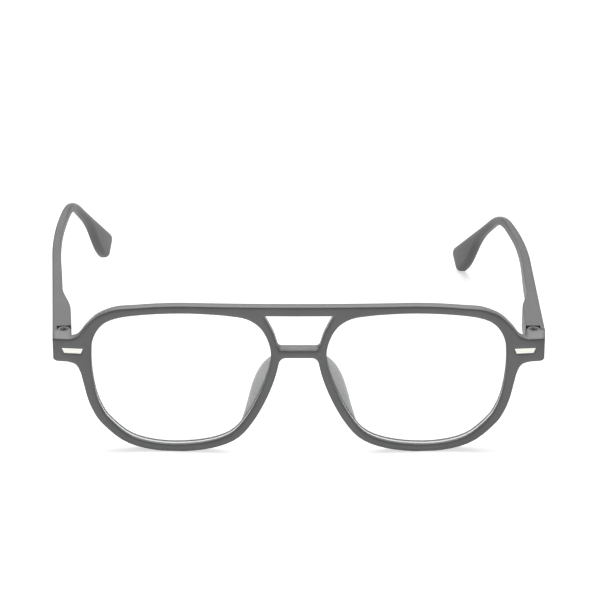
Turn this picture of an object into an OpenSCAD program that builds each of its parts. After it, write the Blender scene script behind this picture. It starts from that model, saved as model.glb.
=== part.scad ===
// Eyeglass frame with a double bridge, clear lenses and folding temples.
// X runs across the front, Y from the front face back to the ears, Z up.
// The origin is the middle of the nose saddle, under the lower bridge.

/* [Lenses and rims] */
// Width of one lens opening
lens_width = 52.8; // [46:0.1:58]
// Height of one lens opening
lens_height = 42.8; // [37:0.1:47]
// Distance between the two lens openings at their closest
bridge_width = 16.2; // [14:0.1:22]
// Height of the rim above and below the opening
rim_height = 2.1; // [1.7:0.1:3]
// Width of the rim on the temple side
rim_temple_side = 2.8; // [2.2:0.1:3.6]
// Width of the rim on the nose side
rim_nose_side = 2.4; // [1.9:0.1:3]
// Thickness of the front from face to back
front_thickness = 3.1; // [2.8:0.1:4]
// Radius of the gentle wrap of the front around the face
wrap_radius = 600; // [350:10:1500]
// Depth of the lip in front of the lens
front_lip = 1.3; // [0.9:0.05:1.4]
// Thickness of the lens
lens_thickness = 1.2; // [1:0.05:1.3]
// Depth of the groove that holds the lens edge
groove_depth = 0.6; // [0.4:0.05:0.9]
// Gap between the lens and its groove
lens_clearance = 0.06; // [0.03:0.01:0.1]

/* [Bridge] */
// Height of the brow bar between the rims
brow_height = 2.6; // [2:0.05:4]
// Height of the window between the brow bar and the lower bridge
window_height = 11.35; // [9:0.05:13]
// Width of the window under the brow bar
window_width = 20.7; // [17:0.1:23]
// Distance from a lens opening in to the lower corner of the window
window_foot = 2.2; // [1.6:0.1:2.6]
// Radius in the lower corners of the window
window_corner = 1.1; // [0.4:0.1:1.6]
// Height of the lower bridge at its front face
lower_bridge_height = 2; // [1.6:0.1:3]
// Rise of the lower bridge from its front edge to its back edge
lower_bridge_rise = 0.8; // [0.2:0.1:1.2]
// Radius where the nose saddle meets the rims
saddle_radius = 2.1; // [1:0.1:2.6]
// Angle by which the rims lean in towards the saddle
saddle_lean = 13; // [8:1:20]

/* [Endpieces] */
// Distance from a lens opening to the outer edge of the endpiece
endpiece_reach = 11.15; // [9.5:0.05:13]
// Height of the endpiece and of the temple at the hinge
endpiece_height = 7; // [6:0.1:8]
// Distance from the top of the lens opening down to the top of the endpiece
endpiece_drop = 9.7; // [8:0.1:13]
// Distance from the front face of the endpiece back to the hinge axis
endpiece_depth = 6.7; // [6.4:0.1:9]
// Radius of the outer lower corner of the endpiece
endpiece_corner = 1.6; // [0.6:0.1:2]

/* [Silver inlays] */
// Width of the inlay at its top edge
inlay_top_width = 6.3; // [4.5:0.1:7]
// Width of the inlay at its bottom edge
inlay_bottom_width = 5; // [3.5:0.1:6]
// Height of the inlay
inlay_height = 1.6; // [1.2:0.1:2.4]
// Thickness of the inlay plate
inlay_thickness = 0.6; // [0.4:0.05:0.9]
// Distance from the top of the endpiece down to the inlay
inlay_drop = 2.7; // [2:0.1:3.2]
// Distance from the outer edge of the endpiece in to the inlay
inlay_inset = 2.6; // [2:0.1:3.5]
// Radius of the two pins behind the inlay
inlay_pin_radius = 0.45; // [0.3:0.05:0.6]
// Length of the two pins behind the inlay
inlay_pin_length = 1.1; // [0.6:0.1:1.4]
// Gap around the inlay in its recess
inlay_clearance = 0.08; // [0.04:0.01:0.15]

/* [Hinges] */
// Radius of the hinge knuckles
knuckle_radius = 1.9; // [1.7:0.05:2.05]
// Height of the middle knuckle, which belongs to the temple
middle_knuckle = 2; // [1.6:0.1:2.4]
// Gap between knuckles, and between the endpiece and the temple
hinge_gap = 0.1; // [0.06:0.01:0.2]
// Gap between the endpiece and the end of the temple once it is folded
pocket_gap = 0.35; // [0.3:0.05:1.2]
// Distance from the hinge axis out to the outer face
hinge_inset = 3.35; // [3.1:0.05:3.8]
// Width of the endpiece block and of the temple at the hinge
hinge_block_width = 5.5; // [5.3:0.05:6.2]
// Radius of the screw shank
screw_radius = 0.7; // [0.5:0.05:0.8]
// Radius of the screw head
screw_head_radius = 1.15; // [1:0.05:1.25]
// Height of the screw head
screw_head_height = 0.7; // [0.5:0.05:0.9]
// Distance across the flats of the nut
nut_flats = 2.4; // [2.1:0.05:2.6]
// Height of the nut
nut_height = 0.8; // [0.6:0.05:0.9]
// Radial play of the temple knuckle on the screw
screw_play = 0.06; // [0.03:0.01:0.09]

/* [Temples] */
// Distance from the hinge axis to the start of the ear bend
bend_start = 84.5; // [75:0.5:95]
// Radius of the ear bend along the top edge
bend_radius = 27.2; // [20:0.2:36]
// Angle by which the ear bend turns down
bend_angle = 37.4; // [32:0.2:44]
// Outward angle of an open temple at its stop
open_splay = 5; // [2:0.5:7]
// Angle by which the right temple is folded in where it rests
right_fold = 5; // [0:0.1:8]
// Angle by which the arms slope down from their hinges
arm_drop = 0.5; // [0:0.1:1.5]
// Upward set of the left arm, whose tip stands clear of the table
left_lift = 3.6; // [0:0.1:4.5]
// Thickness of the temple along its arm
arm_thickness = 3.1; // [2.4:0.1:3.5]
// Distance from the hinge axis to where the thick hinge end tapers off
shoulder_start = 14.5; // [10:0.5:20]
// Length of the taper from the hinge end to the arm
shoulder_length = 15.5; // [10:0.5:22]
// Height of the arm at its middle
arm_height = 6.2; // [5:0.1:7]
// Height of the temple at the ear bend
bend_height = 2.8; // [2.4:0.1:4]
// Thickness of the temple at the ear bend
bend_thickness = 2.5; // [2:0.1:2.8]
// Distance from the hinge axis to where the arm starts to bow inwards
bow_start = 51.5; // [40:0.5:60]
// Radius of the inward bow of the arm
bow_radius = 165; // [140:1:260]
// Angle at which the ear tip runs inwards
tip_turn = 19.2; // [12:0.2:22]
// Width of the ear tip near its end
tip_width = 8.8; // [7:0.1:11]
// Thickness of the ear tip at its end
tip_thickness = 3.4; // [3:0.1:5]
// Length of the rounded end of the ear tip
tip_round = 3.2; // [2.5:0.1:5]
// Distance from the end of the ear bend to where the ear tip starts to widen
tip_neck = 2.2; // [0:0.2:8]
// Radius of the edges along the arm
arm_edge = 0.35; // [0.2:0.05:0.6]
// Radius of the other edges of the ear tip, as a share of its thickness
tip_edge = 0.38; // [0.1:0.02:0.4]
// Radius of the broad rounding on the inner top edge of the ear tip, as a share of its thickness
tip_rounding = 0.58; // [0.3:0.02:0.6]

/* [Nose pads] */
// Length of the pad along the rim
pad_length = 22; // [18:0.5:26]
// Distance that the pad reaches behind the rim
pad_reach = 5.5; // [4:0.1:7]
// Distance that the pad flares away from the nose
pad_flare = 3; // [1.5:0.1:4.5]
// Thickness of the pad in its middle
pad_thickness = 1.5; // [1:0.1:2]
// Gap of the glue seam between pad and rim
pad_seam = 0.08; // [0.04:0.01:0.2]

/* [Hidden] */
$fn = 64;
wrap_facets = 1440;
lens_shape_steps = 4;
// Points of the lens opening, as shares of its width from the nose and of its height from the bottom
lens_shape = [
    [0, 0.7], [0.018, 0.81], [0.062, 0.905], [0.135, 0.965], [0.235, 0.987], [0.35, 0.997],
    [0.47, 1], [0.6, 0.993], [0.73, 0.977], [0.84, 0.952], [0.915, 0.912], [0.965, 0.843],
    [0.992, 0.755], [1, 0.65], [0.997, 0.52], [0.98, 0.378], [0.95, 0.265], [0.9, 0.168],
    [0.78, 0.047], [0.6, 0], [0.39, 0.018], [0.235, 0.085], [0.143, 0.212],
    [0.066, 0.392], [0.015, 0.57]
];
// Numbers of the shape's points where the rim's outline meets brow, endpiece and saddle
brow_point = 6;
brow_end_point = 8;
endpiece_point = 15;
saddle_point = 24;
// Points of the outline from the brow down to the endpiece, as shares of the endpiece's reach
// and of its distance below the top of the front
brow_slope = [
    [-1.076, 0.101], [-0.655, 0.157], [-0.206, 0.347], [0.117, 0.644], [0.332, 0.912], [0.574, 1]
];
// Points of the outline under the endpiece, as shares of its reach and of its height
endpiece_slope = [[0.627, 0.008], [0.412, 0.122], [0.287, 0.486], [0.206, 1.071]];
slope_steps = 5;
// Side of the bridge window, as shares of its spread and of its height
window_side = [[1, 1], [0.587, 0.67], [0.29, 0.4], [0.14, 0.19], [0, 0]];
window_steps = 4;
corner_steps = 8;
// Distance that the endpiece's corner is drawn beyond the side that the hinge line cuts
corner_over = 0.25;
// Depth of the flat where the rims rest on the table
rest_cut = 0.06;
// Gap around the fixed screw shank, its head and the nut
screw_fit = 0.02;
nut_fit = 0.04;
head_fit = 0.06;
// Distance that the screw's head and the nut lie under the plastic, and the screw's end
screw_sink = 0.05;
screw_end = 0.1;
// Distance that the web beside the middle knuckle stands in from the knuckle's side
web_inset = 0.2;
// Cross recess of the screw
cross_width = 0.32;
cross_length = 1.4 * screw_head_radius;
cross_turn = 20;
lens_nose_x = bridge_width / 2;
lens_temple_x = lens_nose_x + lens_width;
lens_bottom = rim_height - rest_cut;
lens_top = lens_bottom + lens_height;
front_top = lens_top + rim_height;
window_top = front_top - brow_height;
window_bottom = window_top - window_height;
saddle_height = window_bottom - lower_bridge_height;
window_foot_x = lens_nose_x - window_foot;
endpiece_top = lens_top - endpiece_drop;
endpiece_bottom = endpiece_top - endpiece_height;
endpiece_edge = lens_temple_x + endpiece_reach;
endpiece_edge_y = wrap_depth(endpiece_edge);
block_inner = hinge_inset - hinge_block_width;
pocket_depth = pocket_gap - block_inner;
axis_x = endpiece_edge + endpiece_depth * sin(open_splay) - hinge_inset * cos(open_splay);
axis_y = endpiece_edge_y + endpiece_depth * cos(open_splay) + hinge_inset * sin(open_splay);
middle_bottom = endpiece_bottom + (endpiece_height - middle_knuckle) / 2;
middle_top = middle_bottom + middle_knuckle;
lens_back = front_lip + lens_thickness + 2 * lens_clearance;
extra = 1;
// Depth that reaches through the wrapped front and its hinges
through_depth = 2 * (endpiece_edge_y + endpiece_depth + front_thickness);

// Distance that the wrapped front stands back at a distance from the middle
function wrap_depth(x) = wrap_radius - sqrt(wrap_radius * wrap_radius - x * x);

// Point on a smooth curve through b and c
function curve_point(a, b, c, d, t) =
    b + t * (c - a) / 2
    + t * t * (2 * a - 5 * b + 4 * c - d) / 2
    + t * t * t * (3 * b - a - 3 * c + d) / 2;

function closed_curve(p, steps) = [
    for (i = [0:len(p) - 1], j = [0:steps - 1])
        curve_point(
            p[(i + len(p) - 1) % len(p)], p[i], p[(i + 1) % len(p)], p[(i + 2) % len(p)], j / steps
        )
];

function open_curve(p, steps) = [
    for (i = [0:len(p) - 2], j = [0:steps - (i < len(p) - 2 ? 1 : 0)])
        curve_point(p[max(i - 1, 0)], p[i], p[i + 1], p[min(i + 2, len(p) - 1)], j / steps)
];

function arc(centre, radius, from, to, steps) = [
    for (i = [0:steps])
        let (angle = from + (to - from) * i / steps)
        centre + radius * [cos(angle), sin(angle)]
];

// Outward normal of a closed outline whose points run clockwise
function outline_normal(p, i) =
    let (step = p[(i + 1) % len(p)] - p[(i + len(p) - 1) % len(p)])
    [-step[1], step[0]] / norm(step);

function lens_outline(growth) =
    let (p = closed_curve(
        [for (s = lens_shape) [lens_nose_x + lens_width * s[0], lens_bottom + lens_height * s[1]]],
        lens_shape_steps
    ))
    [for (i = [0:len(p) - 1]) p[i] + growth * outline_normal(p, i)];

// Outer edge of the rim: its width changes from top and bottom to the sides
function rim_outline() =
    let (p = lens_outline(0))
    [
        for (i = [0:len(p) - 1])
            let (n = outline_normal(p, i))
            let (side = n[0] > 0 ? rim_temple_side : rim_nose_side)
            p[i] + n * (rim_height + (side - rim_height) * n[0] * n[0])
    ];

// Outer edge of the right half of the front, clockwise from the middle of the brow
function half_outline() =
    let (rim = rim_outline())
    concat(
        [for (i = [brow_point * lens_shape_steps:brow_end_point * lens_shape_steps - 1]) rim[i]],
        open_curve(
            concat(
                [rim[brow_end_point * lens_shape_steps]],
                [
                    for (s = brow_slope)
                        [
                            lens_temple_x + endpiece_reach * s[0],
                            front_top + (endpiece_top - front_top) * s[1]
                        ]
                ]
            ),
            slope_steps
        ),
        [[endpiece_edge + extra, endpiece_top]],
        arc(
            [endpiece_edge + corner_over - endpiece_corner, endpiece_bottom + endpiece_corner],
            endpiece_corner, 0, -90, corner_steps
        ),
        open_curve(
            [
                for (s = endpiece_slope)
                    [
                        lens_temple_x + endpiece_reach * s[0],
                        endpiece_bottom - endpiece_height * s[1]
                    ]
            ],
            slope_steps
        ),
        [for (i = [endpiece_point * lens_shape_steps:saddle_point * lens_shape_steps]) rim[i]],
        arc(
            [saddle_foot(rim) - saddle_radius * cos(saddle_lean), saddle_height - saddle_radius],
            saddle_radius, saddle_lean, 90, corner_steps
        )
    );

// Distance from the middle to where the rounding of the saddle meets the leaning rim
function saddle_foot(rim) =
    let (start = rim[saddle_point * lens_shape_steps])
    let (foot_height = saddle_height - saddle_radius * (1 - sin(saddle_lean)))
    start[0] - (foot_height - start[1]) * tan(saddle_lean);

function mirrored(p) = [for (i = [len(p) - 1:-1:0]) [-p[i][0], p[i][1]]];

// Window between the brow bar and the lower bridge, down to the bridge's back edge
function half_window() = open_curve(
    [
        for (s = window_side)
            [
                window_foot_x + (window_width / 2 - window_foot_x) * s[0],
                window_bottom + lower_bridge_rise + (window_height - lower_bridge_rise) * s[1]
            ]
    ],
    window_steps
);

// Whole front seen from the front: its outer edge, then the window and both lens openings
function front_edges() =
    let (half = half_outline(), window = half_window(), opening = lens_outline(0))
    [concat(half, mirrored(half)), concat(window, mirrored(window)), opening, mirrored(opening)];

function joined(lists, i = 0) = i == len(lists) ? [] : concat(lists[i], joined(lists, i + 1));

function path_numbers(lists) = [
    for (i = [0:len(lists) - 1])
        let (start = i == 0 ? 0 : len(joined([for (j = [0:i - 1]) lists[j]])))
        [for (j = [0:len(lists[i]) - 1]) start + j]
];

// Puts a shape drawn in X and Z across the whole depth of the front
module through_front() {
    translate([0, through_depth / 2, 0]) rotate([90, 0, 0]) linear_extrude(through_depth)
        children();
}

// Layer of the wrapped front between two depths behind its face
module front_layer(near, far) {
    difference() {
        translate([0, wrap_radius, -extra])
            cylinder(r = wrap_radius - near, h = front_top + 2 * extra, $fn = wrap_facets);
        translate([0, wrap_radius, -2 * extra])
            cylinder(r = wrap_radius - far, h = front_top + 4 * extra, $fn = wrap_facets);
    }
}

// Moves a shape drawn about the right hinge to its place, turned outwards by an angle
module at_hinge(outward) {
    translate([axis_x, axis_y, 0]) rotate([0, 0, -outward]) children();
}

module front_shape() {
    edges = front_edges();
    polygon(joined(edges), path_numbers(edges));
}

// Block behind the endpiece, in the hinge's own directions
module endpiece_block() {
    rotate([90, 0, 0]) linear_extrude(endpiece_depth - front_lip) polygon(concat(
        [[block_inner, endpiece_bottom], [block_inner, endpiece_top], [hinge_inset, endpiece_top]],
        arc(
            [hinge_inset - endpiece_corner, endpiece_bottom + endpiece_corner],
            endpiece_corner, 0, -90, corner_steps
        )
    ));
}

module hinge_cylinder(radius, low, high) {
    translate([0, 0, low]) cylinder(r = radius, h = high - low);
}

// Endpiece block with its two knuckles, about the hinge axis
module hinge_block() {
    difference() {
        union() {
            translate([0, -hinge_gap / 2, 0]) endpiece_block();
            hinge_cylinder(knuckle_radius, middle_top + hinge_gap, endpiece_top);
            hinge_cylinder(knuckle_radius, endpiece_bottom, middle_bottom - hinge_gap);
        }
        // Room for the middle knuckle and for its web as the temple folds
        hinge_cylinder(
            knuckle_radius + hinge_gap, middle_bottom - hinge_gap, middle_top + hinge_gap
        );
        translate([block_inner - extra, -knuckle_radius - hinge_gap, middle_bottom - hinge_gap])
            cube([
                extra - block_inner,
                knuckle_radius + 2 * hinge_gap,
                middle_knuckle + 2 * hinge_gap
            ]);
        hinge_cylinder(screw_radius + screw_fit, endpiece_bottom - extra, endpiece_top + extra);
        hinge_cylinder(
            screw_head_radius + head_fit,
            endpiece_top - screw_head_height - hinge_gap, endpiece_top + extra
        );
        translate([0, 0, endpiece_bottom - extra])
            cylinder(
                r = (nut_flats / 2 + nut_fit) / cos(30),
                h = nut_height + hinge_gap + extra, $fn = 6
            );
    }
}

// Does what follows on the right and, mirrored, on the left
module both_sides() {
    children();
    mirror([1, 0, 0]) children();
}

// Turns a shape along the top of the lower bridge, which slopes down to its front edge
module along_bridge_top() {
    translate([0, 0, window_bottom]) rotate([atan(lower_bridge_rise / front_thickness), 0, 0])
        translate([0, through_depth / 2, 0]) rotate([90, 0, 0]) linear_extrude(through_depth)
            children();
}

// Rounding between the top of the lower bridge and the rim beside it
module corner_fillet() {
    lean = window_side[3][0] / window_side[3][1]
        * (window_width / 2 - window_foot_x) / (window_height - lower_bridge_rise);
    steep = atan(lean);
    centre = [window_foot_x - window_corner * tan(45 - steep / 2), window_corner];
    polygon(concat(
        [[window_foot_x + extra / 2, -extra / 2], [centre[0], -extra / 2]],
        arc(centre, window_corner, -90, -steep, corner_steps),
        [[window_foot_x + extra / 2, centre[1] - window_corner * sin(steep)]]
    ));
}

// Front with its grooves, recesses and hinge bores, before the window's corners are rounded
module cut_front() {
    difference() {
        union() {
            intersection() {
                through_front() front_shape();
                front_layer(0, front_thickness);
            }
            both_sides() at_hinge(open_splay) hinge_block();
        }
        both_sides() {
            // The outer side of the endpiece follows the line of the open temple
            at_hinge(open_splay)
                translate([hinge_inset, -through_depth, -extra])
                    cube([endpiece_reach, 2 * through_depth, front_top + 2 * extra]);
            intersection() {
                through_front() polygon(lens_outline(groove_depth));
                front_layer(front_lip, lens_back);
            }
            at_inlay() inlay_recess();
        }
        // Top of the lower bridge, which slopes down to its front edge
        translate([-window_foot_x, 0, window_bottom])
            rotate([atan(lower_bridge_rise / front_thickness), 0, 0])
                translate([0, -through_depth / 2, 0])
                    cube([2 * window_foot_x, through_depth, window_height / 3]);
        // Small flats where the rims rest on the table
        translate([-lens_temple_x, -through_depth / 2, -rim_height])
            cube([2 * lens_temple_x, through_depth, rim_height]);
    }
}

module front_frame() {
    color([0.42, 0.42, 0.425]) from_saddle() {
        cut_front();
        intersection() {
            both_sides() along_bridge_top() corner_fillet();
            front_layer(0, front_thickness);
        }
    }
}

module from_saddle() {
    translate([0, -front_thickness / 2, -saddle_height]) children();
}

// Copies a right-hand piece to one side: 1 is right, -1 is left
module on_side(side) {
    from_saddle() {
        if (side > 0) children();
        else mirror([1, 0, 0]) children();
    }
}

module lens(side) {
    color([0.85, 0.9, 0.92, 0.3]) on_side(side) intersection() {
        through_front() polygon(lens_outline(groove_depth - lens_clearance));
        front_layer(front_lip + lens_clearance, lens_back - lens_clearance);
    }
}

// Middle of the inlay on the front face, facing along the wrap
module at_inlay() {
    middle_x = endpiece_edge - inlay_inset - inlay_top_width / 2;
    translate([
        middle_x, wrap_depth(middle_x), endpiece_top - inlay_drop - inlay_height / 2
    ])
        rotate([0, 0, asin(middle_x / wrap_radius)]) children();
}

module inlay_plate(growth, depth, ahead) {
    translate([0, depth, 0]) rotate([90, 0, 0]) linear_extrude(depth + ahead) polygon([
        [-inlay_bottom_width / 2 - growth, -inlay_height / 2 - growth],
        [inlay_bottom_width / 2 + growth, -inlay_height / 2 - growth],
        [inlay_top_width / 2 + growth, inlay_height / 2 + growth],
        [-inlay_top_width / 2 - growth, inlay_height / 2 + growth]
    ]);
}

module inlay_pins(radius, length) {
    for (x = [-inlay_bottom_width / 4, inlay_bottom_width / 4])
        translate([x, inlay_thickness - inlay_clearance, 0])
            rotate([-90, 0, 0]) cylinder(r = radius, h = length + inlay_clearance);
}

module inlay_recess() {
    inlay_plate(inlay_clearance, inlay_thickness + inlay_clearance, extra);
    inlay_pins(inlay_pin_radius + inlay_clearance, inlay_pin_length + inlay_clearance);
}

module inlay(side) {
    color([0.93, 0.92, 0.88]) on_side(side) at_inlay() {
        inlay_plate(0, inlay_thickness, 0);
        inlay_pins(inlay_pin_radius, inlay_pin_length);
    }
}

module hinge_screw(side) {
    head_low = endpiece_top - screw_head_height - screw_sink;
    color([0.35, 0.35, 0.36]) on_side(side) at_hinge(open_splay) difference() {
        union() {
            hinge_cylinder(screw_radius, endpiece_bottom + screw_end, head_low + screw_end);
            hinge_cylinder(screw_head_radius, head_low, head_low + screw_head_height);
        }
        // Cross recess in the head
        for (turn = [cross_turn, cross_turn + 90])
            rotate([0, 0, turn])
                translate([
                    -cross_length / 2, -cross_width / 2, endpiece_top - screw_head_height / 2
                ])
                    cube([cross_length, cross_width, screw_head_height]);
    }
}

module hinge_nut(side) {
    color([0.5, 0.5, 0.5]) on_side(side) at_hinge(open_splay)
        translate([0, 0, endpiece_bottom + screw_sink]) difference() {
            cylinder(r = nut_flats / 2 / cos(30), h = nut_height, $fn = 6);
            translate([0, 0, -extra])
                cylinder(r = screw_radius + screw_fit, h = nut_height + 2 * extra);
        }
}

// Inward bow of the arm, seen from above, at a distance back from the hinge axis
bow_end = bow_start + bow_radius * tan(tip_turn);
function bow(u) =
    u < bow_start ? 0 :
    u < bow_end ? pow(u - bow_start, 2) / (2 * bow_radius) :
    (bow_end - bow_start) * tan(tip_turn) / 2 + (u - bow_end) * tan(tip_turn);

// Smooth step from 0 to 1 between two distances
function blend(u, from, to) =
    let (t = max(0, min(1, (u - from) / (to - from))))
    (1 - cos(180 * t)) / 2;

// Distances from the hinge axis to where the arm has its thickness and its height at the bend,
// where its own set ends, where it starts to get lower, and where its edges start to get softer
thin_end = 0.82 * bend_start;
low_end = 0.88 * bend_start;
lift_end = 1.08 * bend_start;
low_start = 0.75 * bow_start;
soft_start = 0.86 * bend_start;
arc_end = [
    bend_start + bend_radius * sin(bend_angle),
    endpiece_top - bend_radius * (1 - cos(bend_angle))
];
// The tip is as long as it takes for its rounded end to reach the table
round_power = 2.6;
// Thickness of the temple's last end, as a share of the tip's thickness
round_share = 0.36;
// How softly the tip starts to widen
flare_power = 1.6;
support_power = round_power / (round_power - 1);
tip_support = pow(
    pow(tip_round * sin(bend_angle), support_power)
    + pow(tip_width / 2 * cos(bend_angle), support_power),
    1 / support_power
);
tip_end_height = tip_width / 2 * cos(bend_angle) + tip_support;
tip_length =
    (arc_end[1] - (arc_end[0] - shoulder_start) * tan(arm_drop) - tip_end_height)
    / (sin(bend_angle) + cos(bend_angle) * tan(arm_drop));
arm_length = bend_start + bend_radius * bend_angle * PI / 180;
temple_length = arm_length + tip_length;
temple_reach = arc_end[0] + (tip_length + tip_round) * cos(bend_angle);

// Thickness of the temple and middle of that thickness, at a distance back
function temple_thickness(u) =
    hinge_block_width
    - blend(u, shoulder_start, shoulder_start + shoulder_length)
        * (hinge_block_width - arm_thickness)
    - blend(u, shoulder_start + shoulder_length, thin_end) * (arm_thickness - bend_thickness)
    + blend(u, bend_start, temple_reach) * (tip_thickness - bend_thickness);
function temple_middle(u) =
    hinge_inset - bow(u) - temple_thickness(u) / 2
    + blend(u, bend_start, temple_reach) * (tip_thickness - bend_thickness) / 2;

// Point on the top edge of the temple after a distance along it, its direction and its height
function top_point(s) =
    s < bend_start ? [s, endpiece_top] :
    s < arm_length
        ? let (a = (s - bend_start) / bend_radius * 180 / PI)
            [bend_start + bend_radius * sin(a), endpiece_top - bend_radius * (1 - cos(a))]
        : arc_end + (s - arm_length) * [cos(bend_angle), -sin(bend_angle)];
function top_angle(s) =
    bend_angle * max(0, min(1, (s - bend_start) / (arm_length - bend_start)));
function temple_height(s) =
    endpiece_height
    - blend(s, shoulder_start, shoulder_start + shoulder_length) * (endpiece_height - arm_height)
    - blend(s, low_start, low_end) * (arm_height - bend_height)
    + pow(blend(s, arm_length + tip_neck, temple_length), flare_power) * (tip_width - bend_height);

// Quarter round of a section, from an angle on
edge_steps = 4;
function quarter(corner, inward, radius, from) = [
    for (k = [0:edge_steps])
        let (angle = from + 90 * k / edge_steps)
        [
            corner[0] + inward[0] * radius + radius * cos(angle),
            corner[1] + inward[1] * radius + radius * sin(angle)
        ]
];

// Cross section of the temple about its middle, after a distance along it
function temple_section(s, width, height) =
    let (w = width / 2, h = height / 2, soft = blend(s, soft_start, arm_length))
    let (edge = arm_edge + soft * (tip_edge * min(width, height) - arm_edge))
    let (outer_low = max(edge, endpiece_corner * (1 - blend(s, shoulder_start, bow_start))))
    let (broad = arm_edge + soft * (tip_rounding * min(width, height) - arm_edge))
    concat(
        quarter([w, h], [-1, -1], edge, 0),
        quarter([-w, h], [1, -1], broad, 90),
        quarter([-w, -h], [1, 1], edge, 180),
        quarter([w, -h], [-1, 1], outer_low, 270)
    );

// Ring of the temple: past the tip's length it closes in on the rounded end
temple_steps = 58;
round_steps = 6;
function temple_ring(s, lift) =
    let (past = max(0, s - temple_length) / tip_round)
    let (size = pow(1 - pow(past, round_power), 1 / round_power))
    let (top = top_point(s), angle = top_angle(s), height = temple_height(s))
    let (width = temple_thickness(top[0]) * (round_share + (1 - round_share) * size))
    [
        for (q = temple_section(s, temple_thickness(top[0]), height))
            let (down = height / 2 - q[1] * size)
            let (u = top[0] - down * sin(angle))
            [
                temple_middle(u) + q[0] * width / temple_thickness(top[0]),
                u,
                top[1] - down * cos(angle)
                    + (min(max(u, shoulder_start), lift_end) - shoulder_start) * tan(lift)
                    - max(0, u - shoulder_start) * tan(arm_drop)
            ]
    ];

function temple_rings(lift) = concat(
    [
        for (i = [0:temple_steps])
            temple_ring(hinge_gap / 2 + (temple_length - hinge_gap / 2) * i / temple_steps, lift)
    ],
    [
        for (i = [1:round_steps])
            temple_ring(temple_length + tip_round * sin(86 * i / round_steps), lift)
    ]
);

// Closed skin over rings that all have the same number of points
module skin(rings) {
    ring = len(rings[0]);
    last = len(rings) - 1;
    polyhedron(
        [for (r = rings, p = r) p],
        concat(
            [
                for (i = [0:last - 1], j = [0:ring - 1])
                    [
                        i * ring + j, i * ring + (j + 1) % ring,
                        (i + 1) * ring + (j + 1) % ring, (i + 1) * ring + j
                    ]
            ],
            [[for (j = [0:ring - 1]) ring - 1 - j], [for (j = [0:ring - 1]) last * ring + j]]
        )
    );
}

module temple(side, turn, lift) {
    // The temple turns about its hinge, from its open stop inwards
    color([0.46, 0.46, 0.465]) on_side(side) at_hinge(open_splay - turn) difference() {
        union() {
            skin(temple_rings(lift));
            hinge_cylinder(knuckle_radius, middle_bottom, middle_top);
        }
        // Pockets for the two knuckles of the endpiece, open towards the head
        for (level = [
            [endpiece_bottom - extra, middle_bottom], [middle_top, endpiece_top + extra]
        ])
            translate([block_inner - extra, -knuckle_radius - extra, level[0]])
                cube([
                    knuckle_radius + 1.5 * hinge_gap - block_inner + extra,
                    knuckle_radius + extra + pocket_depth,
                    level[1] - level[0]
                ]);
        // The web beside the middle knuckle is as narrow as the knuckle
        translate([block_inner - extra, -extra, middle_bottom - extra])
            cube([
                -block_inner + extra - knuckle_radius + web_inset,
                pocket_depth + extra, middle_knuckle + 2 * extra
            ]);
        hinge_cylinder(screw_radius + screw_play, middle_bottom - extra, middle_top + extra);
    }
}

// Nose pad: a leaf behind the nose side of the rim, made of rings along the rim
pad_steps = 24;
pad_ring = 16;
// Height of the pad's top and distance that it stands in on the rim, as shares of the opening
// and of the rim
pad_top_share = 0.648;
pad_inset_share = 0.35;
leaf_power = 0.77;
// Thickness of the pad at its two ends, as a share of its thickness in the middle
pad_end_share = 0.4;

// Nose-side edge of the lens opening: distance from the middle at a height
opening = lens_outline(0);
nose_side = [
    for (i = [(saddle_point - 4) * lens_shape_steps:len(opening) + lens_shape_steps])
        [opening[i % len(opening)][1], opening[i % len(opening)][0]]
];

// Point on the back of the nose-side rim, at a share of the pad's length from its top
function pad_seat(t) =
    let (z = lens_bottom + lens_height * pad_top_share - t * pad_length)
    let (x = lookup(z, nose_side) - rim_nose_side * pad_inset_share)
    [x, wrap_depth(x) + front_thickness + pad_seam, z];

function pad_section(t) =
    let (leaf = sin(180 * pow(0.02 + 0.965 * t, leaf_power)))
    let (thick = pad_thickness * (pad_end_share + (1 - pad_end_share) * leaf))
    [
        for (j = [0:pad_ring - 1])
            let (angle = 360 * j / pad_ring)
            let (along = (1 - cos(angle)) / 2)
            pad_seat(t) + [
                pad_flare * leaf * pow(along, 1.3) + sin(angle) * thick / 2 * (1.15 - 0.3 * along),
                (pad_reach * leaf + 0.3) * along,
                0
            ]
    ];

module nose_pad(side) {
    color([0.62, 0.62, 0.63]) on_side(side)
        skin([for (i = [0:pad_steps]) pad_section(i / pad_steps)]);
}

module lens_left() { lens(-1); }
module lens_right() { lens(1); }
module nose_pad_left() { nose_pad(-1); }
module nose_pad_right() { nose_pad(1); }
module inlay_left() { inlay(-1); }
module inlay_right() { inlay(1); }
module temple_left() { temple(-1, 0, left_lift); }
module temple_right() { temple(1, right_fold, 0); }
module hinge_screw_left() { hinge_screw(-1); }
module hinge_screw_right() { hinge_screw(1); }
module hinge_nut_left() { hinge_nut(-1); }
module hinge_nut_right() { hinge_nut(1); }

front_frame();
lens_left();
lens_right();
nose_pad_left();
nose_pad_right();
inlay_left();
inlay_right();
temple_left();
temple_right();
hinge_screw_left();
hinge_screw_right();
hinge_nut_left();
hinge_nut_right();
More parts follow.
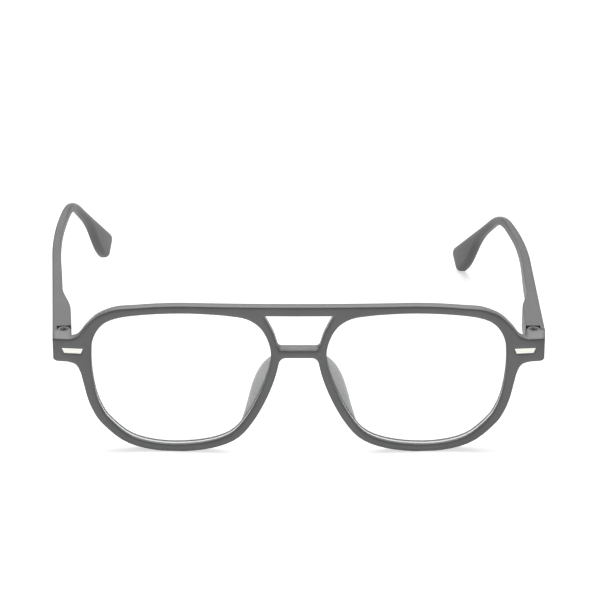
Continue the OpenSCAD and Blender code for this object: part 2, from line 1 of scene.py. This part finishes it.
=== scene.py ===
import math
import bpy
import bmesh
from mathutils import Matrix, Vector


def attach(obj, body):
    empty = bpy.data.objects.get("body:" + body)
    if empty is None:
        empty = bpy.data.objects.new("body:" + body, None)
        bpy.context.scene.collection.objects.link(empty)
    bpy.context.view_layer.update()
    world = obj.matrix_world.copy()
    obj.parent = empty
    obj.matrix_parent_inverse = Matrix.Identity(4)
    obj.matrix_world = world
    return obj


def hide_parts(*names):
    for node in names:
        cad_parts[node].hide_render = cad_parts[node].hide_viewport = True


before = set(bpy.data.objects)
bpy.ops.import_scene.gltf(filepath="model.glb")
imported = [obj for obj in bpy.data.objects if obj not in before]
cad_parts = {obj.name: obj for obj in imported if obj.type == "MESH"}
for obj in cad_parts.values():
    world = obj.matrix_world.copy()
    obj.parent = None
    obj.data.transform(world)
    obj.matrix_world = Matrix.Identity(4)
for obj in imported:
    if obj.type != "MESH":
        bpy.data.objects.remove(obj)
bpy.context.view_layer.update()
print("frame loaded,", len(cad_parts), "nodes")

mm = 0.001
white = (1, 1, 1, 1)


# Working helpers: how near two points are one, how short an edge is left alone, and how
# sharp an edge is, in degrees, for a bevel that goes by angle
meshWork = {"mergeDistance": 0.002 * mm, "shortestEdge": 1e-7, "bevelAngle": 40}


def deselectAll():
    if bpy.context.object and bpy.context.object.mode != "OBJECT":
        bpy.ops.object.mode_set(mode="OBJECT")
    bpy.ops.object.select_all(action="DESELECT")


def makeActive(piece):
    deselectAll()
    piece.select_set(True)
    bpy.context.view_layer.objects.active = piece


def editAll(piece):
    makeActive(piece)
    bpy.ops.object.mode_set(mode="EDIT")
    bpy.ops.mesh.select_all(action="SELECT")


def leaveEdit():
    bpy.ops.object.mode_set(mode="OBJECT")


# A node's mesh as a new piece, its loose triangles joined and, where an angle is given,
# its flat faces cleaned
def copyNode(nodeName, pieceName, flatAngle=0):
    piece = bpy.data.objects.new(pieceName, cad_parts[nodeName].data.copy())
    bpy.context.scene.collection.objects.link(piece)
    piece.data.materials.clear()
    makeActive(piece)
    if piece.data.has_custom_normals:
        bpy.ops.mesh.customdata_custom_splitnormals_clear()
    editAll(piece)
    bpy.ops.mesh.remove_doubles(threshold=meshWork["mergeDistance"])
    if flatAngle:
        bpy.ops.mesh.dissolve_limited(angle_limit=math.radians(flatAngle))
    leaveEdit()
    return piece


def weighEdges(piece, chosen):
    attribute = piece.data.attributes.get("bevel_weight_edge")
    if attribute is None:
        attribute = piece.data.attributes.new("bevel_weight_edge", "FLOAT", "EDGE")
    for index, weight in chosen:
        attribute.data[index].value = weight


# Edges whose two faces meet at more than an angle: index, middle, direction and both normals
def sharpEdges(piece, degrees):
    work = bmesh.new()
    work.from_mesh(piece.data)
    work.normal_update()
    found = []
    for edge in work.edges:
        if len(edge.link_faces) == 2 and edge.calc_length() > meshWork["shortestEdge"]:
            if edge.calc_face_angle(0) > math.radians(degrees):
                a, b = edge.verts[0].co, edge.verts[1].co
                normals = [face.normal.copy() for face in edge.link_faces]
                found.append((edge.index, (a + b) / 2, (b - a).normalized(), normals))
    work.free()
    return found


def addBevel(piece, width, segments, byWeight=True):
    bevel = piece.modifiers.new("edges", "BEVEL")
    bevel.width = width
    bevel.segments = segments
    bevel.limit_method = "WEIGHT" if byWeight else "ANGLE"
    bevel.angle_limit = math.radians(meshWork["bevelAngle"])
    bevel.miter_outer = "MITER_ARC"
    makeActive(piece)
    bpy.ops.object.modifier_apply(modifier=bevel.name)


def smoothByAngle(piece, degrees):
    makeActive(piece)
    bpy.ops.object.shade_smooth_by_angle(
        angle=math.radians(degrees), keep_sharp_edges=False
    )


# Material helpers: the part of a noise's range over which colour and roughness change
noiseSpread = {"tint": (0.35, 0.65), "rough": (0.3, 0.7)}


def newMaterial(name):
    material = bpy.data.materials.new(name)
    material.use_nodes = True
    nodes = material.node_tree.nodes
    shader = nodes["Principled BSDF"]
    return material, nodes, material.node_tree.links, shader


# Noise on the object's own coordinates
def addNoise(nodes, links, scale, detail, stretch=(1, 1, 1)):
    place = nodes.new("ShaderNodeTexCoord")
    turn = nodes.new("ShaderNodeMapping")
    turn.inputs["Scale"].default_value = stretch
    noise = nodes.new("ShaderNodeTexNoise")
    noise.inputs["Scale"].default_value = scale
    noise.inputs["Detail"].default_value = detail
    links.new(place.outputs["Object"], turn.inputs["Vector"])
    links.new(turn.outputs["Vector"], noise.inputs["Vector"])
    return noise.outputs["Fac"]


# One of the object's own coordinates, X, Y or Z
def addAxis(nodes, links, axis):
    place = nodes.new("ShaderNodeTexCoord")
    split = nodes.new("ShaderNodeSeparateXYZ")
    links.new(place.outputs["Object"], split.inputs["Vector"])
    return split.outputs[axis]


# Colour between a dark and a light one
def addTint(nodes, links, source, dark, light):
    ramp = nodes.new("ShaderNodeValToRGB")
    for end, color in enumerate((dark, light)):
        ramp.color_ramp.elements[end].position = noiseSpread["tint"][end]
        ramp.color_ramp.elements[end].color = (*color, 1)
    links.new(source, ramp.inputs["Fac"])
    return ramp.outputs["Color"]


# Change from one level to another while the source goes from one place to another
def addSlope(nodes, links, source, places, levels, curve="LINEAR"):
    slope = nodes.new("ShaderNodeMapRange")
    slope.interpolation_type = curve
    slope.inputs["From Min"].default_value = places[0]
    slope.inputs["From Max"].default_value = places[1]
    slope.inputs["To Min"].default_value = levels[0]
    slope.inputs["To Max"].default_value = levels[1]
    links.new(source, slope.inputs["Value"])
    return slope.outputs["Result"]


def addMath(nodes, links, operation, *sources):
    step = nodes.new("ShaderNodeMath")
    step.operation = operation
    for index, source in enumerate(sources):
        links.new(source, step.inputs[index])
    return step


# A material whose roughness follows a noise, and that noise for its colour
def roughMaterial(name, scale, detail, rough, stretch=(1, 1, 1)):
    material, nodes, links, shader = newMaterial(name)
    noise = addNoise(nodes, links, scale, detail, stretch)
    spread = addSlope(nodes, links, noise, noiseSpread["rough"], rough)
    links.new(spread, shader.inputs["Roughness"])
    return material, nodes, links, shader, noise


# Moulded plastic: faint cloudiness in the colour, a fine satin grain and faces that lie
# slightly domed between their edges
plasticLook = {
    "frontDark": (0.108, 0.109, 0.112), "frontLight": (0.126, 0.127, 0.130),
    "templeDark": (0.066, 0.066, 0.068), "templeLight": (0.080, 0.080, 0.082),
    "padDark": (0.405, 0.407, 0.412), "padLight": (0.465, 0.467, 0.472),
    "cloudScale": 90, "cloudDetail": 4,
    "grainScale": 2600, "grainDetail": 2, "grainDepth": 0.02 * mm, "grainStrength": 0.25,
    "rough": (0.38, 0.46), "refraction": 1.49, "shine": 0.5, "templeShine": 0.34,
    "softRadius": 1.5 * mm, "templeSoft": 0.4 * mm, "softSamples": 8,
}


def plastic(name, dark, light, softRadius, shine):
    material, nodes, links, shader, grain = roughMaterial(
        name, plasticLook["grainScale"], plasticLook["grainDetail"], plasticLook["rough"]
    )
    cloud = addNoise(nodes, links, plasticLook["cloudScale"], plasticLook["cloudDetail"])
    tint = addTint(nodes, links, cloud, dark, light)
    links.new(tint, shader.inputs["Base Color"])
    bump = nodes.new("ShaderNodeBump")
    bump.inputs["Strength"].default_value = plasticLook["grainStrength"]
    bump.inputs["Distance"].default_value = plasticLook["grainDepth"]
    links.new(grain, bump.inputs["Height"])
    soft = nodes.new("ShaderNodeBevel")
    soft.samples = plasticLook["softSamples"]
    soft.inputs["Radius"].default_value = softRadius
    links.new(soft.outputs["Normal"], bump.inputs["Normal"])
    links.new(bump.outputs["Normal"], shader.inputs["Normal"])
    shader.inputs["IOR"].default_value = plasticLook["refraction"]
    shader.inputs["Specular IOR Level"].default_value = shine
    return material


frontPlastic = plastic(
    "frontPlastic", plasticLook["frontDark"], plasticLook["frontLight"],
    plasticLook["softRadius"], plasticLook["shine"]
)
templePlastic = plastic(
    "templePlastic", plasticLook["templeDark"], plasticLook["templeLight"],
    plasticLook["templeSoft"], plasticLook["templeShine"]
)
padPlastic = plastic(
    "padPlastic", plasticLook["padDark"], plasticLook["padLight"],
    plasticLook["softRadius"], plasticLook["shine"]
)


# Inlays and nuts: metal with a fine brushed grain, drawn out on the inlays
metalLook = {
    "inlayDark": (0.60, 0.595, 0.54), "inlayLight": (0.67, 0.665, 0.62),
    "inlayRough": (0.16, 0.26), "inlayStretch": (0.15, 1, 4),
    "nutDark": (0.10, 0.10, 0.105), "nutLight": (0.20, 0.20, 0.205),
    "nutRough": (0.30, 0.45), "nutStretch": (1, 1, 1),
    "brushScale": 900, "brushDetail": 3,
}


def metal(name, dark, light, rough, stretch):
    material, nodes, links, shader, brush = roughMaterial(
        name, metalLook["brushScale"], metalLook["brushDetail"], rough, stretch
    )
    tint = addTint(nodes, links, brush, dark, light)
    links.new(tint, shader.inputs["Base Color"])
    shader.inputs["Metallic"].default_value = 1
    return material


inlayMetal = metal(
    "inlayMetal", metalLook["inlayDark"], metalLook["inlayLight"],
    metalLook["inlayRough"], metalLook["inlayStretch"]
)
nutMetal = metal(
    "nutMetal", metalLook["nutDark"], metalLook["nutLight"],
    metalLook["nutRough"], metalLook["nutStretch"]
)


# Screw head: worn steel on top, with painted shade nearly black in its cross recess
screwLook = {
    "dark": (0.018, 0.018, 0.019), "light": (0.075, 0.075, 0.078),
    "recess": (0.004, 0.004, 0.004), "recessFloor": 3.98 * mm, "headTop": 4.07 * mm,
    "wearScale": 1400, "wearDetail": 3, "rough": (0.5, 0.65), "metallic": 0.5, "shine": 0.2,
}


def screwFinish():
    material, nodes, links, shader, wear = roughMaterial(
        "screwMetal", screwLook["wearScale"], screwLook["wearDetail"], screwLook["rough"]
    )
    steel = addTint(nodes, links, wear, screwLook["dark"], screwLook["light"])
    # Painted shade: below the head's top the colour falls to nearly black in the cross recess
    height = addAxis(nodes, links, "Z")
    outsidePaintedShade = addSlope(
        nodes, links, height, (screwLook["recessFloor"], screwLook["headTop"]), (0, 1)
    )
    blend = nodes.new("ShaderNodeMix")
    blend.data_type = "RGBA"
    blend.inputs["A"].default_value = (*screwLook["recess"], 1)
    links.new(outsidePaintedShade, blend.inputs["Factor"])
    links.new(steel, blend.inputs["B"])
    links.new(blend.outputs["Result"], shader.inputs["Base Color"])
    shader.inputs["Metallic"].default_value = screwLook["metallic"]
    shader.inputs["Specular IOR Level"].default_value = screwLook["shine"]
    return material


screwMetal = screwFinish()


# Lens faces: clear, with the faintest smudges
lensLook = {
    "dark": (0.95, 0.97, 0.97), "light": (0.97, 0.985, 0.985),
    "smudgeScale": 60, "smudgeDetail": 3, "rough": (0.02, 0.05),
    "refraction": 1.5, "faceAlpha": 0.07,
}


def clearLens():
    material, nodes, links, shader, smudge = roughMaterial(
        "clearLens", lensLook["smudgeScale"], lensLook["smudgeDetail"], lensLook["rough"]
    )
    tint = addTint(nodes, links, smudge, lensLook["dark"], lensLook["light"])
    links.new(tint, shader.inputs["Base Color"])
    shader.inputs["IOR"].default_value = lensLook["refraction"]
    shader.inputs["Alpha"].default_value = lensLook["faceAlpha"]
    return material


# Edge of the lens: its ground bevel is nearly white and has a painted glow, and the polished
# strip beside each face is painted dark, a painted reflection of the dark groove
edgeLook = {
    "groundDark": (0.72, 0.74, 0.74), "groundLight": (0.88, 0.90, 0.90), "groundPaintedGlow": 0.48,
    "polishedPaintedDark": (0.09, 0.092, 0.094), "polishedPaintedLight": (0.13, 0.132, 0.135),
    "polishedGlow": 0,
    "frostScale": 1500, "frostDetail": 3, "rough": (0.55, 0.75), "refraction": 1.5,
}


def lensEdge(name, dark, light, glow):
    material, nodes, links, shader, frost = roughMaterial(
        name, edgeLook["frostScale"], edgeLook["frostDetail"], edgeLook["rough"]
    )
    tint = addTint(nodes, links, frost, dark, light)
    links.new(tint, shader.inputs["Base Color"])
    shader.inputs["IOR"].default_value = edgeLook["refraction"]
    shader.inputs["Emission Color"].default_value = white
    # Emission: a painted glow on the ground bevel, none on the polished strip
    shader.inputs["Emission Strength"].default_value = glow
    return material


lensMaterial = clearLens()
groundEdgePaintedGlow = lensEdge(
    "groundEdgePaintedGlow", edgeLook["groundDark"], edgeLook["groundLight"], edgeLook["groundPaintedGlow"]
)
# The polished strip's dark colour is a painted reflection of the groove
polishedEdgePaintedReflection = lensEdge(
    "polishedEdgePaintedReflection", edgeLook["polishedPaintedDark"], edgeLook["polishedPaintedLight"],
    edgeLook["polishedGlow"]
)
print("materials made")


# The front and the lenses follow one wrap around the face. Their copies are laid flat,
# cleaned, bevelled, cut into strips and wrapped again.
wrapShape = {"radius": 600 * mm, "step": 3 * mm, "cleanAngle": 1.2}


def wrapDepth(x):
    radius = wrapShape["radius"]
    return radius - math.sqrt(radius * radius - x * x)


def moveAlongWrap(piece, direction):
    for vertex in piece.data.vertices:
        vertex.co.y += direction * wrapDepth(vertex.co.x)


def layFlat(piece):
    moveAlongWrap(piece, -1)
    editAll(piece)
    bpy.ops.mesh.dissolve_limited(angle_limit=math.radians(wrapShape["cleanAngle"]))
    leaveEdit()


def wrapAgain(piece, reach):
    editAll(piece)
    last = math.floor(reach / wrapShape["step"])
    for step in range(-last, last + 1):
        bpy.ops.mesh.select_all(action="SELECT")
        bpy.ops.mesh.bisect(
            plane_co=(step * wrapShape["step"], 0, 0), plane_no=(1, 0, 0),
            use_fill=False, clear_inner=False, clear_outer=False
        )
    leaveEdit()
    moveAlongWrap(piece, 1)


# Front: crisp edges above and behind, a broader rounding where the face turns down and
# one in between beside the window
frontShape = {
    "thickness": 3.1 * mm, "roundWidth": 0.75 * mm, "roundSteps": 4,
    "crispShare": 0.4, "windowShare": 0.7, "downNormal": -0.35,
    "sharpAngle": 30, "smoothAngle": 32, "faceSlack": 0.02 * mm, "mostDepthwise": 0.2,
    "windowFoot": 6.9 * mm, "windowSpread": 0.35,
    "windowLow": 1.5 * mm, "windowHigh": 13.2 * mm, "reach": 75 * mm,
}


# Whether a place lies on the side of the window between brow bar and lower bridge
def besideWindow(place):
    if not frontShape["windowLow"] < place.z < frontShape["windowHigh"]:
        return False
    spread = frontShape["windowSpread"] * (place.z - frontShape["windowLow"])
    return abs(place.x) < frontShape["windowFoot"] + spread


def buildFront():
    front = copyNode("front_frame", "frontFrame")
    layFlat(front)
    halfThickness = frontShape["thickness"] / 2
    chosen = []
    for index, middle, direction, normals in sharpEdges(front, frontShape["sharpAngle"]):
        onFace = abs(middle.y + halfThickness) < frontShape["faceSlack"]
        onBack = abs(middle.y - halfThickness) < frontShape["faceSlack"]
        if (onFace or onBack) and abs(direction.y) < frontShape["mostDepthwise"]:
            turnsDown = min(normal.z for normal in normals) < frontShape["downNormal"]
            weight = frontShape["crispShare"]
            if onFace and turnsDown:
                weight = 1
            elif onFace and besideWindow(middle):
                weight = frontShape["windowShare"]
            chosen.append((index, weight))
    weighEdges(front, chosen)
    addBevel(front, frontShape["roundWidth"], frontShape["roundSteps"])
    wrapAgain(front, frontShape["reach"])
    smoothByAngle(front, frontShape["smoothAngle"])
    front.data.materials.append(frontPlastic)
    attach(front, "front")
    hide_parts("front_frame")
    print("front built,", len(front.data.polygons), "faces")


buildFront()


# Temples: one smooth moulding each, from the hinge to the ear tip
templeShape = {"flatAngle": 0.6, "smoothAngle": 35}


def buildTemple(side):
    temple = copyNode("temple_" + side, side + "Temple", templeShape["flatAngle"])
    smoothByAngle(temple, templeShape["smoothAngle"])
    temple.data.materials.append(templePlastic)
    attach(temple, side + "_temple")
    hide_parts("temple_" + side)


for side in ("left", "right"):
    buildTemple(side)
print("temples built")


# Nose pads, smoothed over the node's rings
padShape = {"smoothAngle": 60}


def buildPad(side):
    pad = copyNode("nose_pad_" + side, side + "NosePad")
    smoothByAngle(pad, padShape["smoothAngle"])
    pad.data.materials.append(padPlastic)
    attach(pad, "front")
    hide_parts("nose_pad_" + side)


for side in ("left", "right"):
    buildPad(side)
print("nose pads built")


# Inlays with softened edges
inlayShape = {"flatAngle": 1, "edgeRound": 0.07 * mm, "roundSteps": 2, "smoothAngle": 35}


def buildInlay(side):
    inlay = copyNode("inlay_" + side, side + "Inlay", inlayShape["flatAngle"])
    addBevel(inlay, inlayShape["edgeRound"], inlayShape["roundSteps"], byWeight=False)
    smoothByAngle(inlay, inlayShape["smoothAngle"])
    inlay.data.materials.append(inlayMetal)
    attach(inlay, "front")
    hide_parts("inlay_" + side)


for side in ("left", "right"):
    buildInlay(side)
print("inlays built")


# Lenses with a ground bevel all round, which sits in the rim's groove
lensShape = {
    "frontBevel": 0.25 * mm, "backBevel": 0.55 * mm, "bevelSteps": 4,
    "sharpAngle": 60, "smoothAngle": 20, "frontSlack": 0.05 * mm,
    "flatNormal": 0.99, "steepNormal": 0.9, "reach": 62 * mm,
}


def buildLens(side):
    lens = copyNode("lens_" + side, side + "Lens")
    layFlat(lens)
    frontY = min(vertex.co.y for vertex in lens.data.vertices)
    frontShare = lensShape["frontBevel"] / lensShape["backBevel"]
    chosen = []
    for index, middle, *others in sharpEdges(lens, lensShape["sharpAngle"]):
        paintedLightInFront = abs(middle.y - frontY) < lensShape["frontSlack"]
        chosen.append((index, frontShare if paintedLightInFront else 1))
    weighEdges(lens, chosen)
    addBevel(lens, lensShape["backBevel"], lensShape["bevelSteps"])
    for material in (lensMaterial, groundEdgePaintedGlow, polishedEdgePaintedReflection):
        lens.data.materials.append(material)
    for face in lens.data.polygons:
        if abs(face.normal.y) < lensShape["steepNormal"]:
            face.material_index = 1
        elif abs(face.normal.y) < lensShape["flatNormal"]:
            face.material_index = 2
    wrapAgain(lens, lensShape["reach"])
    smoothByAngle(lens, lensShape["smoothAngle"])
    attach(lens, "front")
    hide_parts("lens_" + side)


for side in ("left", "right"):
    buildLens(side)
print("lenses built")


# Nodes that keep their own shape
for nodeName, material in {
    "hinge_screw_left": screwMetal, "hinge_screw_right": screwMetal,
    "hinge_nut_left": nutMetal, "hinge_nut_right": nutMetal,
}.items():
    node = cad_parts[nodeName]
    node.data.materials.clear()
    node.data.materials.append(material)
print("screws and nuts finished")


# Table and room. The table glows by the base level as a white table does by bounced light,
# and what the eye sees of it is made brighter far away, and in front of the rims by painted
# light over their shadow.
stageLook = {
    "tableHeight": -30.99 * mm, "tableSize": 6, "tableRough": 0.9,
    "tableDark": (0.80, 0.80, 0.80), "tableLight": (0.82, 0.82, 0.82),
    "hazeScale": 3, "hazeDetail": 2,
    "baseGlow": 0.60, "nearGlow": 0, "frontPaintedLight": 0.35, "farGlow": 0.5,
    "nearDepth": 0, "frontDepth": -4 * mm, "nearRadius": 0.2, "farRadius": 0.45,
    "worldLight": 0.15,
}


# 1 for what the camera sees, directly or in metal and glass, and 0 for what lights the object
def seenByEye(nodes, links):
    path = nodes.new("ShaderNodeLightPath").outputs
    direct = addMath(
        nodes, links, "MAXIMUM", path["Is Camera Ray"], path["Is Transmission Ray"]
    )
    seen = addMath(
        nodes, links, "MAXIMUM", direct.outputs["Value"], path["Is Glossy Ray"]
    )
    return seen.outputs["Value"]


# How much brighter the eye sees the table than its base glow: painted light over the rims'
# shadow in front of them, and a brighter floor far away
def extraGlow(nodes, links):
    # Painted light: the table is brighter to the eye just in front of the rims, covering
    # their shadow
    paintedLightInFront = addSlope(
        nodes, links, addAxis(nodes, links, "Y"),
        (stageLook["frontDepth"], stageLook["nearDepth"]),
        (stageLook["frontPaintedLight"], stageLook["nearGlow"]), "SMOOTHSTEP"
    )
    place = nodes.new("ShaderNodeTexCoord")
    reach = nodes.new("ShaderNodeVectorMath")
    reach.operation = "LENGTH"
    links.new(place.outputs["Object"], reach.inputs[0])
    farAway = addSlope(
        nodes, links, reach.outputs["Value"],
        (stageLook["nearRadius"], stageLook["farRadius"]),
        (0, stageLook["farGlow"]), "SMOOTHSTEP"
    )
    return addMath(nodes, links, "MAXIMUM", paintedLightInFront, farAway).outputs["Value"]


def tableFinish():
    material, nodes, links, shader = newMaterial("tableTop")
    haze = addNoise(nodes, links, stageLook["hazeScale"], stageLook["hazeDetail"])
    tint = addTint(nodes, links, haze, stageLook["tableDark"], stageLook["tableLight"])
    links.new(tint, shader.inputs["Base Color"])
    shader.inputs["Roughness"].default_value = stageLook["tableRough"]
    shader.inputs["Specular IOR Level"].default_value = 0
    seen = seenByEye(nodes, links)
    glow = extraGlow(nodes, links)
    strength = addMath(nodes, links, "MULTIPLY_ADD", seen, glow)
    strength.inputs[2].default_value = stageLook["baseGlow"]
    shader.inputs["Emission Color"].default_value = white
    links.new(strength.outputs["Value"], shader.inputs["Emission Strength"])
    return material


def buildTable():
    deselectAll()
    bpy.ops.mesh.primitive_plane_add(
        size=stageLook["tableSize"], location=(0, 0, stageLook["tableHeight"])
    )
    table = bpy.context.object
    table.name = "table"
    table.data.materials.append(tableFinish())


def buildWorld():
    world = bpy.data.worlds.new("whiteRoom")
    bpy.context.scene.world = world
    world.use_nodes = True
    nodes, links = world.node_tree.nodes, world.node_tree.links
    background = nodes["Background"]
    background.inputs["Color"].default_value = white
    strength = addSlope(
        nodes, links, seenByEye(nodes, links), (0, 1), (stageLook["worldLight"], 1)
    )
    links.new(strength, background.inputs["Strength"])


buildTable()
buildWorld()


# Two soft square lights, turned to the object
lightLook = {
    "topSize": 1.2, "topEnergy": 15, "topPlace": (0, 0.75, 0.95),
    "frontSize": 0.8, "frontEnergy": 2.0, "frontPlace": (0, -1.1, 0.10),
}


def buildLight(name, size, energy, place):
    deselectAll()
    bpy.ops.object.light_add(type="AREA", location=place)
    light = bpy.context.object
    light.name = name
    light.data.shape = "SQUARE"
    light.data.size = size
    light.data.energy = energy
    light.rotation_euler = (-Vector(place)).to_track_quat("-Z", "Y").to_euler()


buildLight("topLight", lightLook["topSize"], lightLook["topEnergy"], lightLook["topPlace"])
buildLight(
    "frontLight", lightLook["frontSize"], lightLook["frontEnergy"], lightLook["frontPlace"]
)


cameraLook = {
    "place": (0.36 * mm, -687.3 * mm, 323.9 * mm), "downAngle": 24,
    "lens": 156, "sensor": 36, "nearest": 0.01,
}


def buildCamera():
    cameraData = bpy.data.cameras.new("photoCamera")
    camera = bpy.data.objects.new("photoCamera", cameraData)
    bpy.context.scene.collection.objects.link(camera)
    camera.location = cameraLook["place"]
    camera.rotation_euler = (math.radians(90 - cameraLook["downAngle"]), 0, 0)
    cameraData.lens = cameraLook["lens"]
    cameraData.sensor_width = cameraLook["sensor"]
    cameraData.clip_start = cameraLook["nearest"]
    bpy.context.scene.camera = camera


buildCamera()
bpy.context.scene.view_settings.view_transform = "Standard"
print("table, lights and camera placed")
